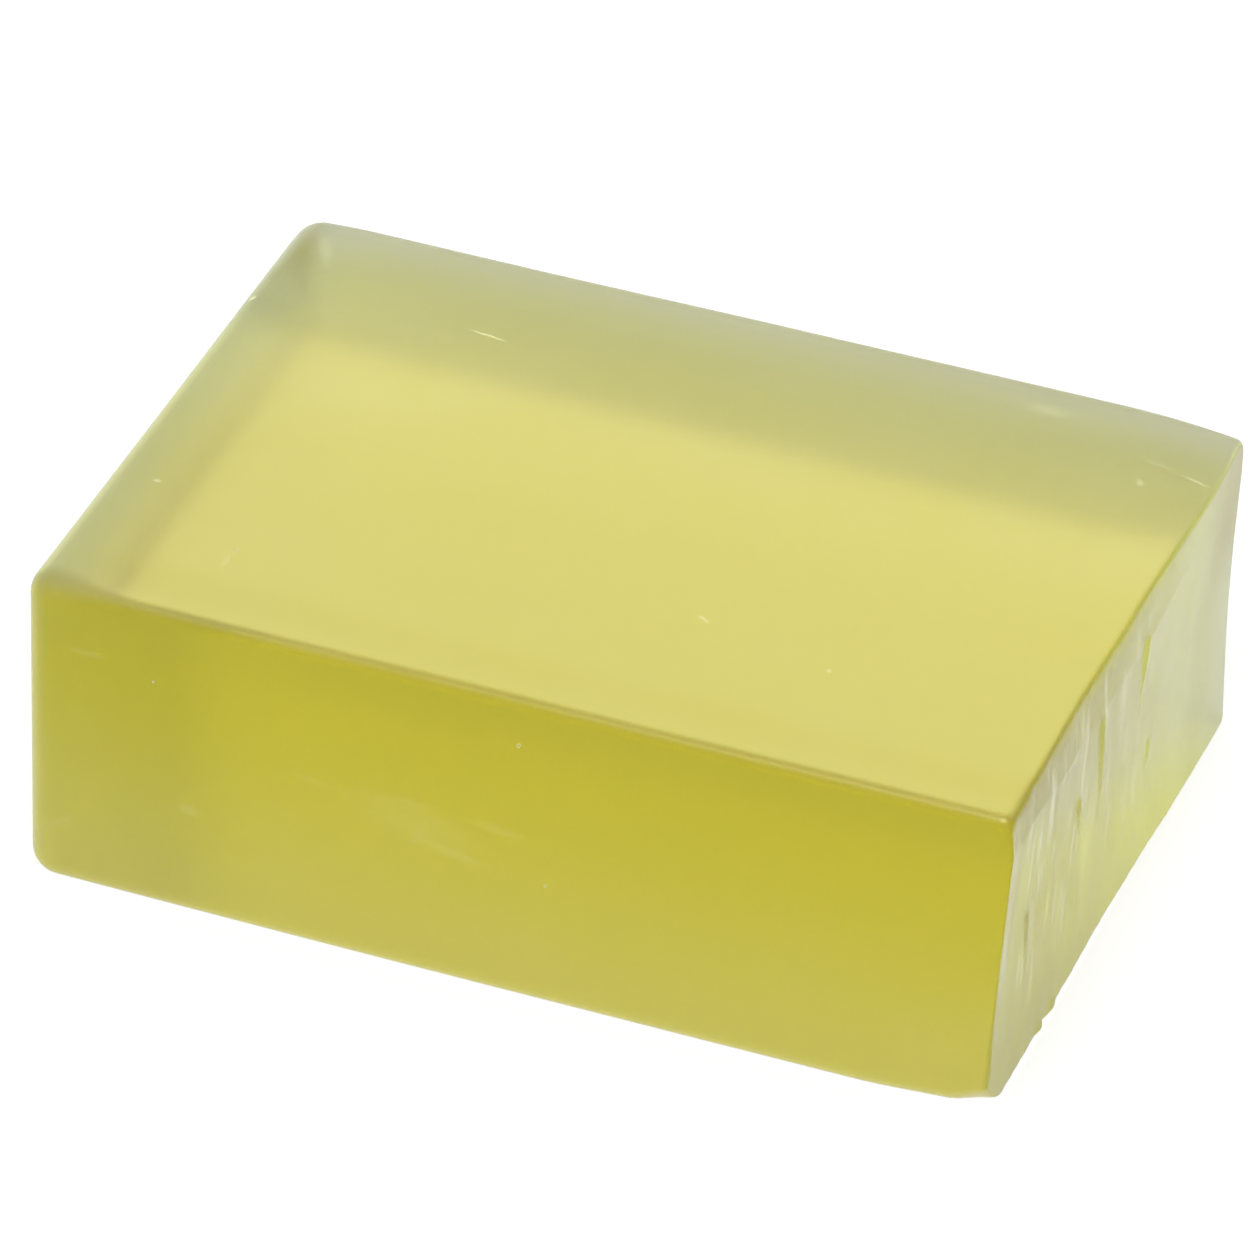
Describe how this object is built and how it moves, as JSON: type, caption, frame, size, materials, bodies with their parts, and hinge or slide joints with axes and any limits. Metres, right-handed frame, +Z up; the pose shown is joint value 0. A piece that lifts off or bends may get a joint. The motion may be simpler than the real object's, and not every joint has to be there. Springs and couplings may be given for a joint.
{
  "type": "clay bar",
  "caption": "Translucent rectangular block of kneading clay with rounded cast edges and a knife-cut end, for cleaning vehicle paint.",
  "frame": {"origin": "middle of the underside, on the surface that the block lies on", "axes": "+X along the block towards the knife-cut end, +Z up through the thickness, front face along -Y"},
  "size_m": [0.09, 0.0644, 0.0325],
  "materials": {
    "clay": "translucent satin, soft resin clay"
  },
  "bodies": {
    "root": {"clay_block": "clay"}
  },
  "joints": []
}
